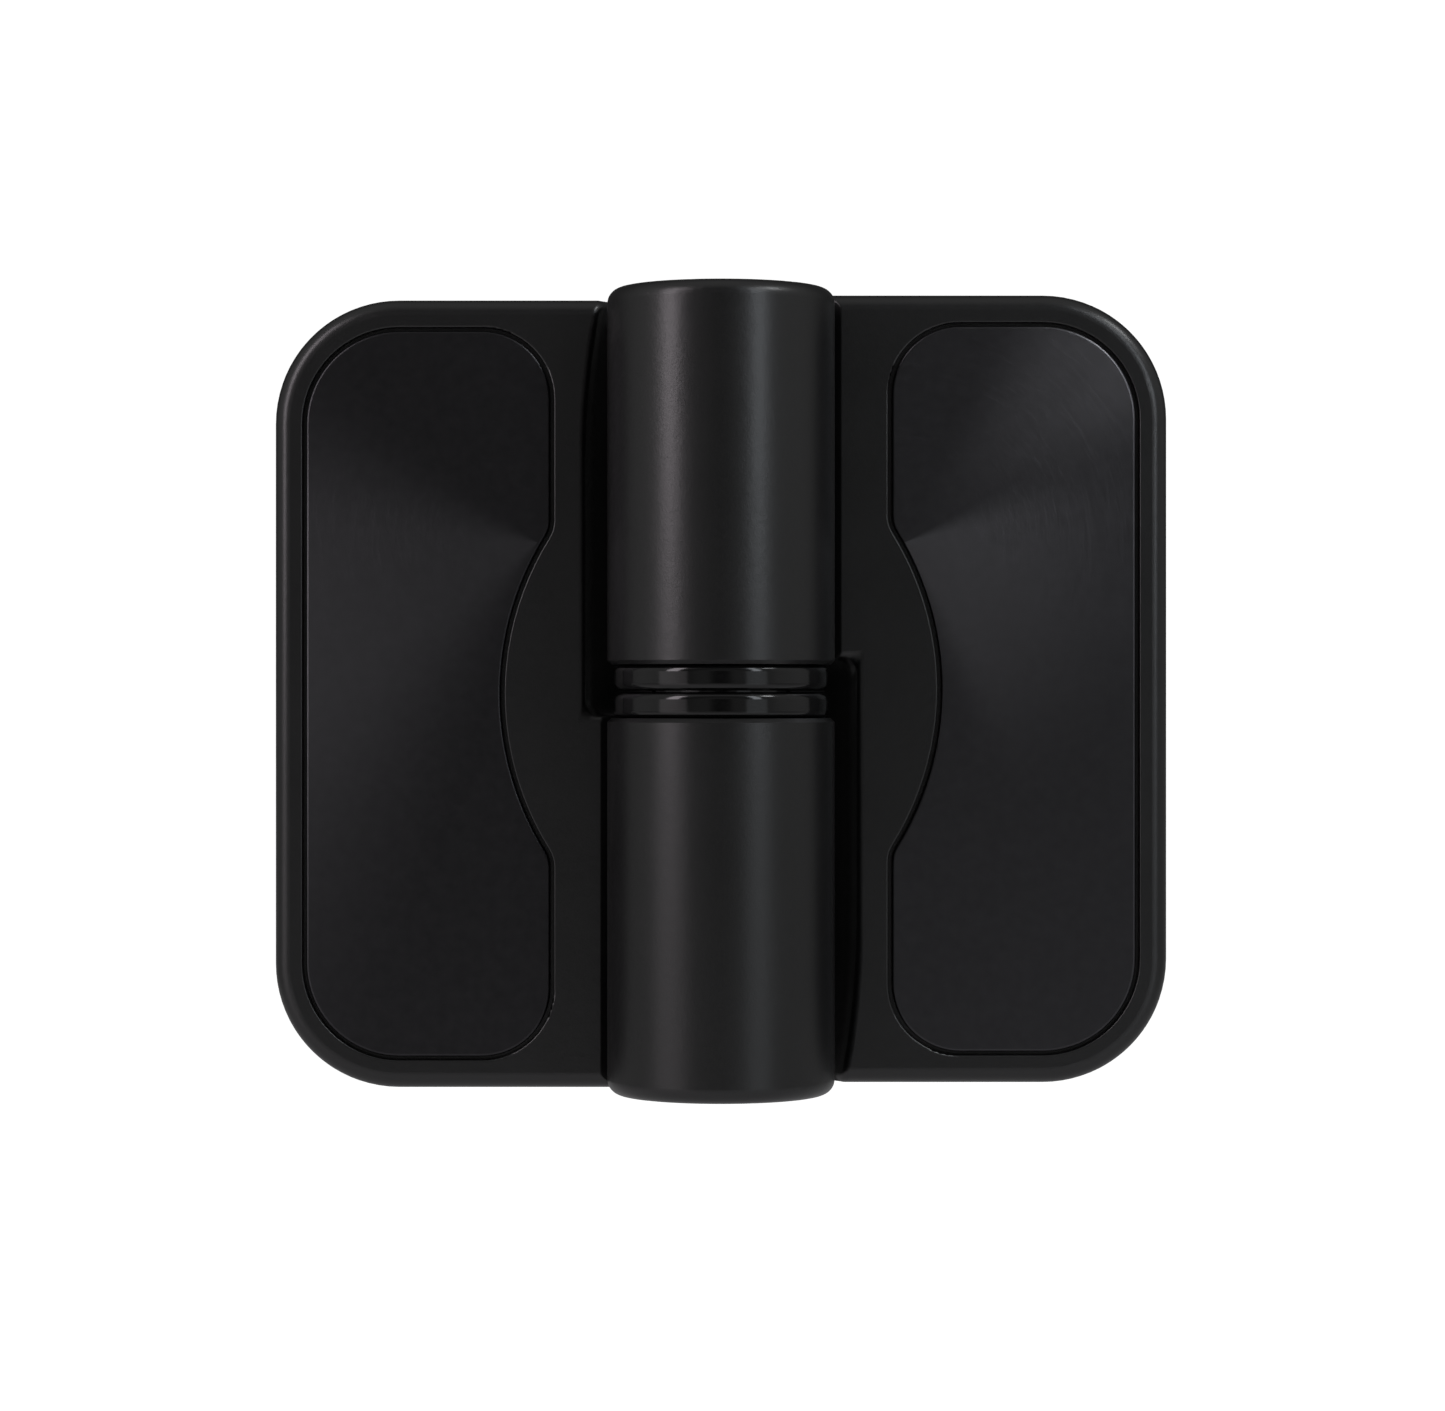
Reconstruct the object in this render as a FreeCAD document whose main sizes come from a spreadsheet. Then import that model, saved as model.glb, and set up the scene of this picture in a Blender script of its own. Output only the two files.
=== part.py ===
"""Surface-mounted self-closing hinge for a cubicle door, as a parametric document.

The origin is the middle of the barrel, on the pin's axis. +Z runs up the pin, +X points to the
door leaf and +Y to the boards that the two leaves are screwed to. Lengths are in millimetres.

Both leaves are one casting pattern: each is drawn as the door leaf, with its knuckle up, and the
fixed leaf is the same thing turned half round about Y, as are the pieces that belong to it.
"""
import FreeCAD, Part
import Sketcher
import math
import os

SIZES = (
    # the two leaves
    ("leaf_reach", 45.0, "outer edge of a leaf, from the pin's axis"),
    ("leaf_step", 0.5, "how far a leaf stops short of the barrel's end beside the other knuckle"),
    ("leaf_thickness", 6.0, "leaf, from its back to its face"),
    ("leaf_corner_radius", 12.5, "outer corners of a leaf"),
    ("leaf_rim_radius", 1.6, "rounding round the face"),
    ("leaf_back_bevel", 0.4, "bevel round the back"),
    ("valley_width", 0.8, "from the knuckle's side to the ridge where the face ends"),
    ("valley_depth", 1.7, "depth of the valley between the face and the knuckle"),
    ("valley_gap", 0.25, "how far the valley's bottom stays outside the knuckle"),
    ("ridge_radius", 0.35, "rounding of the ridge"),
    # the barrel
    ("barrel_length", 80.0, "both knuckles and the rings between them"),
    ("knuckle_radius", 11.3, "outside of both knuckles"),
    ("knuckle_wall", 2.3, "wall round the cams and the spring"),
    ("knuckle_end_radius", 1.5, "rounding of a knuckle's outer end"),
    ("knuckle_edge_break", 0.4, "bevel of a knuckle's end at the rings"),
    ("end_notch", 0.35, "gap between the leaf's root and the rounded or bevelled knuckle"),
    # the slot in each leaf beside the other leaf's knuckle
    ("relief_gap", 3.5, "slot between a knuckle and the other leaf"),
    ("relief_end_land", 0.1, "face left between that slot and the ridge at the leaf's end"),
    ("relief_taper", 16.0, "length over which the slot closes in"),
    ("relief_edge_radius", 0.8, "rounding of the slot's edge on the face"),
    ("door_slot_end", 3.3, "end of the door leaf's slot past the barrel's middle"),
    ("fixed_slot_end", 2.4, "end of the fixed leaf's slot past the barrel's middle"),
    ("slot_corner_radius", 1.8, "inner corner of the slot"),
    ("lip_thickness", 1.0, "lip that closes the slot at the back"),
    ("lip_gap", 0.75, "gap between that lip and the other leaf's knuckle"),
    ("lip_inset", 0.5, "how far the lip stays inside the leaf's end"),
    # the cover plates and their recesses
    ("cover_margin", 3.2, "cover's edge, inside the leaf's edge"),
    ("cover_gap", 0.35, "gap between a cover and its recess"),
    ("cover_thickness", 1.2, "cover plate, also the depth of the recess"),
    ("cover_barrel_gap", 5.9, "cover's inner edge, from the knuckle's side"),
    ("cover_corner_radius", 9.4, "outer corners of a cover"),
    ("cover_inner_radius", 6.9, "inner corners of a cover"),
    ("cover_edge_radius", 0.3, "rounding round a cover's face"),
    ("recess_edge_radius", 0.2, "rounding of the recess's edge"),
    ("notch_radius", 30.0, "hollow curve in a cover's inner edge"),
    ("notch_depth", 5.0, "depth of that curve"),
    ("notch_bend_radius", 3.0, "bend where the curve meets the straight edge"),
    # fixing screws and cover clips
    ("screw_middle", 29.5, "middle of the four fixing holes, from the pin's axis"),
    ("screw_spacing_x", 12.0, "fixing holes, across the leaf"),
    ("screw_spacing_z", 54.0, "fixing holes, along the leaf"),
    ("screw_hole", 5.5, "diameter of a fixing hole"),
    ("screw_head", 10.5, "diameter of its countersink"),
    ("screw_angle", 90.0, "included angle of the countersink"),
    ("clip_reach", 32.0, "cover clips, from the pin's axis"),
    ("clip_height", 12.0, "cover clips, above and below the leaf's middle"),
    ("clip_radius", 2.5, "outside of a clip"),
    ("clip_depth", 3.0, "length of a clip and depth of its hole"),
    ("clip_slit", 0.8, "width of the slit in a clip"),
    ("clip_base", 0.8, "unslit length at the bottom of a clip"),
    ("peg_radius", 1.2, "peg on the back of a cover"),
    ("peg_length", 2.4, "length of that peg"),
    ("push_gap", 0.03, "radial gap of a piece pushed into its hole"),
    # rings and cams
    ("ring_stack", 5.3, "gap between the knuckles that the two rings fill"),
    ("ring_parting", 0.15, "gap between the two rings"),
    ("ring_inset", 0.6, "how far the rings stay inside the knuckles"),
    ("ring_edge_radius", 0.7, "rounding of a ring's edges"),
    ("socket_gap", 0.05, "radial gap of a cam or a bush in its knuckle"),
    ("socket_depth", 12.5, "depth of the lower cam's socket"),
    ("key_height", 0.85, "how far a key stands out of a cam"),
    ("key_width", 3.0, "width of a key"),
    ("key_gap", 0.1, "gap between a key and the walls of its keyway"),
    ("bush_length", 5.35, "sleeve of the upper bush, above its ring"),
    ("bush_wall", 1.95, "wall of the upper bush"),
    ("running_gap", 0.07, "radial gap of a piece that turns or slides in another"),
    ("cam_valley", 1.0, "bottom of the lower cam's ramp, above the barrel's middle"),
    ("cam_rise_per_turn", 11.3, "pitch of the ramp"),
    ("cam_gap", 0.1, "gap between the two ramps"),
    ("cam_land", 0.3, "how much the ramps' tips are cut back"),
    ("cam_head_gap", 0.3, "gap between the upper cam's head and the bush"),
    ("cam_head_height", 4.7, "height of the upper cam's head"),
    ("swing_angle", 170.0, "how far the door opens"),
    ("keyway_spare", 0.8, "keyway past the upper cam's highest place"),
    # pin, spring, washers and plugs
    ("pin_radius", 4.0, "hinge pin"),
    ("pin_fit_gap", 0.02, "radial gap of the pin where it is fixed"),
    ("pin_running_gap", 0.05, "radial gap of the pin in its bush"),
    ("pin_head_radius", 6.5, "head of the pin"),
    ("pin_head_height", 3.0, "height of that head"),
    ("pin_tail", 1.5, "pin past its retaining ring"),
    ("pin_chamfer", 0.5, "chamfer on the pin's tip and head"),
    ("pin_flat", 0.5, "depth of the flat under the grub screw"),
    ("cap_pocket_depth", 8.5, "pocket in the outer end of a knuckle"),
    ("web_thickness", 2.5, "wall that the spring pushes on"),
    ("pin_bush_radius", 5.3, "bush in that wall"),
    ("spring_wire", 1.8, "diameter of the spring's wire"),
    ("spring_turns", 4.5, "turns of the spring"),
    ("washer_thickness", 1.0, "both washers"),
    ("washer_gap", 0.35, "radial gap round a washer"),
    ("ring_groove_depth", 0.25, "groove for the retaining ring"),
    ("retainer_radius", 6.3, "outside of the retaining ring"),
    ("retainer_thickness", 1.0, "retaining ring"),
    ("retainer_gap", 0.05, "play of the retaining ring in its groove and over the washer"),
    ("retainer_mouth", 3.2, "opening of the retaining ring"),
    ("retainer_eye", 0.6, "radius of the holes in its ends"),
    ("plug_wall", 2.7, "knuckle's wall round a plug"),
    ("plug_ledge", 0.6, "ledge that a plug sits on"),
    ("plug_thickness", 3.5, "height of a plug"),
    ("plug_crown", 1.5, "thickness of a plug's end"),
    ("plug_skirt", 1.7, "wall of a plug's skirt"),
    ("plug_chamfer", 0.3, "chamfer round a plug's end"),
    ("grub_radius", 2.0, "grub screw that locks the pin"),
    ("grub_length", 6.0, "length of the grub screw"),
    ("grub_socket", 2.0, "its hexagon socket, across the flats"),
    ("grub_socket_depth", 2.5, "depth of that socket"),
)

# Places worked out from the sheet, as expressions on it.
BACK = "sizes.knuckle_radius"
FACE = "(sizes.knuckle_radius - sizes.leaf_thickness)"
RECESS_FLOOR = "(sizes.knuckle_radius - sizes.leaf_thickness + sizes.cover_thickness)"
BARREL_END = "(sizes.barrel_length / 2)"
LEAF_TOP = BARREL_END
LEAF_BOTTOM = "(sizes.leaf_step - sizes.barrel_length / 2)"
LEAF_MIDDLE = "(sizes.leaf_step / 2)"
RIDGE = "(sizes.knuckle_radius + sizes.valley_width)"
RING_HALF = "(sizes.ring_stack / 2)"
BEVEL_TOP = "(sizes.ring_stack / 2 + sizes.knuckle_edge_break)"
PARTING_HALF = "(sizes.ring_parting / 2)"
RING_RADIUS = "(sizes.knuckle_radius - sizes.ring_inset)"
BORE = "(sizes.knuckle_radius - sizes.knuckle_wall)"
SLEEVE = "(sizes.knuckle_radius - sizes.knuckle_wall - sizes.socket_gap)"
KEY_REACH = "(sizes.knuckle_radius - sizes.knuckle_wall + sizes.key_height)"
BUSH_TOP = "(sizes.ring_stack / 2 + sizes.bush_length)"
BUSH_BORE = "(sizes.knuckle_radius - sizes.knuckle_wall - sizes.socket_gap - sizes.bush_wall)"
SOCKET_END = "(sizes.ring_stack / 2 + sizes.socket_depth)"
CAM_HEAD_BOTTOM = "(sizes.ring_stack / 2 + sizes.bush_length + sizes.cam_head_gap)"
CAM_HEAD_TOP = f"({CAM_HEAD_BOTTOM} + sizes.cam_head_height)"
CAM_PEAK = "(sizes.cam_valley + sizes.cam_rise_per_turn / 2)"
CAM_TRAVEL = "(sizes.cam_rise_per_turn * sizes.swing_angle / 360)"
POCKET_FLOOR = "(sizes.barrel_length / 2 - sizes.cap_pocket_depth)"
PLUG_SEAT = "(sizes.barrel_length / 2 - sizes.plug_thickness)"
PLUG_POCKET = "(sizes.knuckle_radius - sizes.plug_wall)"
CAP_POCKET = "(sizes.knuckle_radius - sizes.plug_wall - sizes.plug_ledge)"
SHOULDER = f"({POCKET_FLOOR} - sizes.web_thickness)"
RETAINER_BOTTOM = f"({POCKET_FLOOR} + sizes.washer_thickness + sizes.retainer_gap)"
GRUB_HEIGHT = f"(({SOCKET_END} + {POCKET_FLOOR}) / 2)"
COVER_INNER = "(sizes.knuckle_radius + sizes.cover_barrel_gap)"
RELIEF = "(sizes.knuckle_radius + sizes.relief_gap)"
RELIEF_END = f"sqrt(({RIDGE} + sizes.relief_end_land) ^ 2 + {FACE} ^ 2)"
PAST_END = 1.0          # how far a cutting profile runs past the surface it cuts
UNTURNED = FreeCAD.Rotation()
HALF_TURN = FreeCAD.Rotation(FreeCAD.Vector(0, 1, 0), 180)
ALONG_Y = FreeCAD.Rotation(FreeCAD.Vector(1, 0, 0), -90)

doc = FreeCAD.newDocument("door_hinge")
sheet = doc.addObject("Spreadsheet::Sheet", "sizes")
for row, (alias, amount, meaning) in enumerate(SIZES, start=1):
    sheet.set(f"A{row}", meaning)
    sheet.set(f"B{row}", str(amount))
    sheet.setAlias(f"B{row}", alias)
doc.recompute()


# ---- how sketches and features are made ----

def size(expression):
    """The present value of an expression on the sheet."""
    return float(sheet.evalExpression(expression))


def new_body(label):
    body = doc.addObject("PartDesign::Body", label)
    body.Label = label
    return body


def sketch_on(body, role, offset="0"):
    """A sketch on one of the body's origin planes, moved along that plane's normal."""
    sketch = body.newObject("Sketcher::SketchObject", body.Name + "_sketch")
    plane = next(feature for feature in body.Origin.OriginFeatures if feature.Role == role)
    sketch.AttachmentSupport = [(plane, "")]
    sketch.MapMode = "FlatFace"
    sketch.setExpression("AttachmentOffset.Base.z", offset)
    doc.recompute()
    return sketch


def dimension(sketch, constraint, expression):
    index = sketch.addConstraint(constraint)
    sketch.setExpression(f"Constraints[{index}]", expression)


def place(sketch, geometry, point, x, y):
    """Hold one point of a piece of geometry at x, y from the sketch's origin."""
    for kind, distance, axis in (("DistanceX", x, -2), ("DistanceY", y, -1)):
        if distance == "0":
            sketch.addConstraint(Sketcher.Constraint("PointOnObject", geometry, point, axis))
        else:
            held = Sketcher.Constraint(kind, -1, 1, geometry, point, size(distance))
            dimension(sketch, held, distance)


def polygon(sketch, corners):
    points = [FreeCAD.Vector(size(x), size(y), 0) for x, y in corners]
    following = points[1:] + points[:1]
    lines = [sketch.addGeometry(Part.LineSegment(a, b), False) for a, b in zip(points, following)]
    for line, after in zip(lines, lines[1:] + lines[:1]):
        sketch.addConstraint(Sketcher.Constraint("Coincident", line, 2, after, 1))
    for line, (x, y) in zip(lines, corners):
        place(sketch, line, 1, x, y)


def rectangle(sketch, left, bottom, right, top):
    polygon(sketch, [(left, bottom), (right, bottom), (right, top), (left, top)])


def circle(sketch, x, y, radius):
    middle = FreeCAD.Vector(size(x), size(y), 0)
    normal = FreeCAD.Vector(0, 0, 1)
    index = sketch.addGeometry(Part.Circle(middle, normal, size(radius)), False)
    place(sketch, index, 3, x, y)
    dimension(sketch, Sketcher.Constraint("Radius", index, size(radius)), radius)


def finish_feature(body, feature, adds):
    """Recompute, and stop if the feature didn't add or remove material as it should."""
    before = 0.0 if body.Shape.isNull() else body.Shape.Volume
    doc.recompute()
    change = feature.Shape.Volume - before
    if (change > 0) != adds or abs(change) < 1e-4:
        raise ValueError(f"{body.Label}: {feature.Name} changed the volume by {change:.4f}")
    return feature


def profiled(body, kind, sketch, length=None, flipped=False):
    """A pad or a pocket of the sketch; with no length, the pocket goes right through."""
    feature = body.newObject("PartDesign::" + kind, f"{body.Name}_{kind.lower()}")
    feature.Profile = sketch
    feature.Reversed = flipped
    if length is None:
        feature.Type = "ThroughAll"
    else:
        feature.setExpression("Length", length)
    return finish_feature(body, feature, kind == "Pad")


def turned(body, kind, sketch):
    """A full revolution or groove about the pin's axis, from a sketch on the XZ plane."""
    feature = body.newObject("PartDesign::" + kind, f"{body.Name}_{kind.lower()}")
    feature.Profile = sketch
    feature.ReferenceAxis = (sketch, ["V_Axis"])
    feature.Angle = 360
    return finish_feature(body, feature, kind == "Revolution")


def softened(body, kind, amount, chosen):
    """A fillet or chamfer on every edge of the body's tip that the test chooses."""
    base = body.Tip
    names = [f"Edge{i}" for i, edge in enumerate(base.Shape.Edges, start=1) if chosen(edge)]
    if not names:
        raise ValueError(f"{body.Label}: no edge to soften")
    feature = body.newObject("PartDesign::" + kind, f"{body.Name}_{kind.lower()}")
    feature.Base = (base, names)
    feature.setExpression("Radius" if kind == "Fillet" else "Size", amount)
    doc.recompute()
    if not feature.isValid():
        raise ValueError(f"{body.Label}: {feature.Name} of {amount} failed on {names}")
    return feature


def lies_at(edge, **places):
    """Whether the edge's whole box is at the given x, y or z."""
    box = edge.BoundBox
    sides = {"x": (box.XMin, box.XMax), "y": (box.YMin, box.YMax), "z": (box.ZMin, box.ZMax)}
    return all(abs(side - at) < 0.01 for name, at in places.items() for side in sides[name])


def round_edge(edge, radius, height=None):
    """Whether the edge is a circle or an arc about the pin's axis, of that radius and height."""
    curve = edge.Curve
    if not isinstance(curve, Part.Circle):
        return False
    on_axis = math.hypot(curve.Center.x, curve.Center.y) < 0.01 and abs(curve.Axis.z) > 0.99
    level = height is None or abs(curve.Center.z - height) < 0.01
    return on_axis and level and abs(curve.Radius - radius) < 0.01


def put(thing, rotation, x="0", y="0", z="0"):
    """Turn and place a finished piece; the place stays bound to the sheet."""
    thing.Placement = FreeCAD.Placement(FreeCAD.Vector(), rotation)
    for axis, expression in (("x", x), ("y", y), ("z", z)):
        thing.setExpression(f".Placement.Base.{axis}", expression)
    doc.recompute()
    return thing


# ---- leaves and covers ----

def cover_outline(sketch, grow):
    """A cover's outline, made larger all round by the expression grow: a tall plate with four
    round corners, and a hollow curve in its inner edge that bends into the straight edge."""
    outer = f"(sizes.leaf_reach - sizes.cover_margin + {grow})"
    top = f"({LEAF_TOP} - sizes.cover_margin + {grow})"
    bottom = f"({LEAF_BOTTOM} + sizes.cover_margin - {grow})"
    inner = f"({COVER_INNER} - {grow})"
    notch_middle = f"({COVER_INNER} + sizes.notch_depth - sizes.notch_radius)"
    radii = {
        "outer": f"(sizes.cover_corner_radius + {grow})",
        "inner": f"(sizes.cover_inner_radius + {grow})",
        "bend": f"(sizes.notch_bend_radius + {grow})",
        "notch": f"(sizes.notch_radius - {grow})",
    }
    right, high, low, left = size(outer), size(top), size(bottom), size(inner)
    corner, inside, bend, notch = (size(radii[name]) for name in ("outer", "inner", "bend", "notch"))
    notch_x, notch_z = size(notch_middle), size(LEAF_MIDDLE)
    bend_x = left + bend
    bend_rise = math.sqrt((notch + bend) ** 2 - (bend_x - notch_x) ** 2)
    slope = math.atan2(bend_rise, bend_x - notch_x)
    quarter = math.pi / 2

    def straight(x1, z1, x2, z2):
        ends = FreeCAD.Vector(x1, z1, 0), FreeCAD.Vector(x2, z2, 0)
        return sketch.addGeometry(Part.LineSegment(*ends), False)

    def arc(x, z, radius, first, last):
        middle = FreeCAD.Vector(x, z, 0)
        whole = Part.Circle(middle, FreeCAD.Vector(0, 0, 1), radius)
        return sketch.addGeometry(Part.ArcOfCircle(whole, first, last), False)

    # Counter-clockwise from the lower left; the notch's arc runs clockwise, so its ends swap.
    foot = straight(left + inside, low, right - corner, low)
    foot_corner = arc(right - corner, low + corner, corner, -quarter, 0)
    side = straight(right, low + corner, right, high - corner)
    head_corner = arc(right - corner, high - corner, corner, 0, quarter)
    head = straight(right - corner, high, left + inside, high)
    upper_inside = arc(left + inside, high - inside, inside, quarter, 2 * quarter)
    upper_edge = straight(left, high - inside, left, notch_z + bend_rise)
    upper_bend = arc(bend_x, notch_z + bend_rise, bend, math.pi, math.pi + slope)
    hollow = arc(notch_x, notch_z, notch, -slope, slope)
    lower_bend = arc(bend_x, notch_z - bend_rise, bend, math.pi - slope, math.pi)
    lower_edge = straight(left, notch_z - bend_rise, left, low + inside)
    lower_inside = arc(left + inside, low + inside, inside, 2 * quarter, 3 * quarter)
    joins = [
        (foot, 2, foot_corner, 1), (foot_corner, 2, side, 1), (side, 2, head_corner, 1),
        (head_corner, 2, head, 1), (head, 2, upper_inside, 1), (upper_inside, 2, upper_edge, 1),
        (upper_edge, 2, upper_bend, 1), (upper_bend, 2, hollow, 2), (hollow, 1, lower_bend, 1),
        (lower_bend, 2, lower_edge, 1), (lower_edge, 2, lower_inside, 1), (lower_inside, 2, foot, 1),
    ]
    for join in joins:
        sketch.addConstraint(Sketcher.Constraint("Tangent", *join))
    for line in (foot, head):
        sketch.addConstraint(Sketcher.Constraint("Horizontal", line))
    for line in (side, upper_edge, lower_edge):
        sketch.addConstraint(Sketcher.Constraint("Vertical", line))
    round_parts = [
        (foot_corner, "outer"), (head_corner, "outer"), (upper_inside, "inner"),
        (lower_inside, "inner"), (upper_bend, "bend"), (lower_bend, "bend"), (hollow, "notch"),
    ]
    for geometry, name in round_parts:
        held = Sketcher.Constraint("Radius", geometry, size(radii[name]))
        dimension(sketch, held, radii[name])
    held_lines = [
        (side, "DistanceX", outer), (upper_edge, "DistanceX", inner), (lower_edge, "DistanceX", inner),
        (head, "DistanceY", top), (foot, "DistanceY", bottom),
    ]
    for geometry, kind, expression in held_lines:
        held = Sketcher.Constraint(kind, -1, 1, geometry, 1, size(expression))
        dimension(sketch, held, expression)
    place(sketch, hollow, 3, notch_middle, LEAF_MIDDLE)


def cut_relief(body, slot_end):
    """Cut the slot that clears the other leaf's knuckle. It is turned about the pin, so the leaf
    reaches behind that knuckle, and it closes in on the barrel towards the leaf's end."""
    sketch = sketch_on(body, "XZ_Plane")
    step = "(sizes.knuckle_radius + sizes.end_notch)"
    taper_start = f"({LEAF_BOTTOM} + sizes.relief_taper)"
    closing = f"({RELIEF} - {RELIEF_END})"
    curve = f"((sizes.relief_taper ^ 2 + {closing} ^ 2) / (2 * {closing}))"
    below = f"({LEAF_BOTTOM} - {PAST_END})"
    radius = size(curve)
    end_angle = -math.asin((size(taper_start) - size(below)) / radius)
    middle = FreeCAD.Vector(size(RELIEF) - radius, size(taper_start), 0)
    end = middle + FreeCAD.Vector(radius * math.cos(end_angle), radius * math.sin(end_angle), 0)
    whole = Part.Circle(middle, FreeCAD.Vector(0, 0, 1), radius)
    path = [
        (size(RELIEF), size(taper_start)), (size(RELIEF), size(slot_end)), (size(step), size(slot_end)),
        (size(step), size(BEVEL_TOP)), (0, size(BEVEL_TOP)), (0, size(below)), (end.x, end.y),
    ]
    points = [FreeCAD.Vector(x, z, 0) for x, z in path]
    lines = [sketch.addGeometry(Part.LineSegment(a, b), False) for a, b in zip(points, points[1:])]
    arc = sketch.addGeometry(Part.ArcOfCircle(whole, end_angle, 0), False)
    for line, after in zip(lines, lines[1:]):
        sketch.addConstraint(Sketcher.Constraint("Coincident", line, 2, after, 1))
    sketch.addConstraint(Sketcher.Constraint("Coincident", lines[-1], 2, arc, 1))
    sketch.addConstraint(Sketcher.Constraint("Tangent", arc, 2, lines[0], 1))
    sketch.addConstraint(Sketcher.Constraint("Horizontal", lines[-1]))
    dimension(sketch, Sketcher.Constraint("Radius", arc, radius), curve)
    place(sketch, lines[0], 1, RELIEF, taper_start)
    place(sketch, lines[1], 1, RELIEF, slot_end)
    place(sketch, lines[2], 1, step, slot_end)
    place(sketch, lines[3], 1, step, BEVEL_TOP)
    place(sketch, lines[4], 1, "0", BEVEL_TOP)
    place(sketch, lines[5], 1, "0", below)
    turned(body, "Groove", sketch)


def add_lip(body, slot_end):
    """A thin lip along the leaf's back, which reaches behind the other leaf's knuckle and closes
    the slot there."""
    front = f"({BACK} - sizes.lip_thickness)"
    edge = f"sqrt((sizes.knuckle_radius + sizes.lip_gap) ^ 2 - {front} ^ 2)"
    root = f"(sqrt({RELIEF} ^ 2 - {front} ^ 2) + sizes.lip_thickness)"
    start = f"({LEAF_BOTTOM} + sizes.lip_inset)"
    section = sketch_on(body, "XY_Plane", start)
    rectangle(section, edge, front, root, BACK)
    profiled(body, "Pad", section, f"{slot_end} + sizes.lip_thickness - {start}")


def add_knuckle(body):
    """The knuckle, with a round outer end and a bevel at the rings. The leaf's root is cleared
    first round both ends, so that the rounding and the bevel show all the way round."""
    clear = "(sizes.knuckle_radius + sizes.end_notch)"
    lowest = f"({BARREL_END} - sizes.knuckle_end_radius)"
    above = f"({BARREL_END} + {PAST_END})"
    end_space = sketch_on(body, "XZ_Plane")
    rectangle(end_space, "0", lowest, clear, above)
    turned(body, "Groove", end_space)

    section = sketch_on(body, "XZ_Plane")
    crown = "(sizes.knuckle_radius - sizes.knuckle_end_radius)"
    path = [
        (crown, BARREL_END), ("0", BARREL_END), ("0", RING_HALF),
        ("(sizes.knuckle_radius - sizes.knuckle_edge_break)", RING_HALF),
        ("sizes.knuckle_radius", BEVEL_TOP), ("sizes.knuckle_radius", lowest),
    ]
    points = [FreeCAD.Vector(size(x), size(z), 0) for x, z in path]
    lines = [section.addGeometry(Part.LineSegment(a, b), False) for a, b in zip(points, points[1:])]
    radius = size("sizes.knuckle_end_radius")
    middle = FreeCAD.Vector(size(crown), size(lowest), 0)
    whole = Part.Circle(middle, FreeCAD.Vector(0, 0, 1), radius)
    arc = section.addGeometry(Part.ArcOfCircle(whole, 0, math.pi / 2), False)
    for line, after in zip(lines, lines[1:]):
        section.addConstraint(Sketcher.Constraint("Coincident", line, 2, after, 1))
    section.addConstraint(Sketcher.Constraint("Coincident", lines[-1], 2, arc, 1))
    section.addConstraint(Sketcher.Constraint("Coincident", arc, 2, lines[0], 1))
    for line, (x, z) in zip(lines, path):
        place(section, line, 1, x, z)
    place(section, lines[-1], 2, *path[-1])
    held = Sketcher.Constraint("Radius", arc, radius)
    dimension(section, held, "sizes.knuckle_end_radius")
    turned(body, "Revolution", section)


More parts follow.
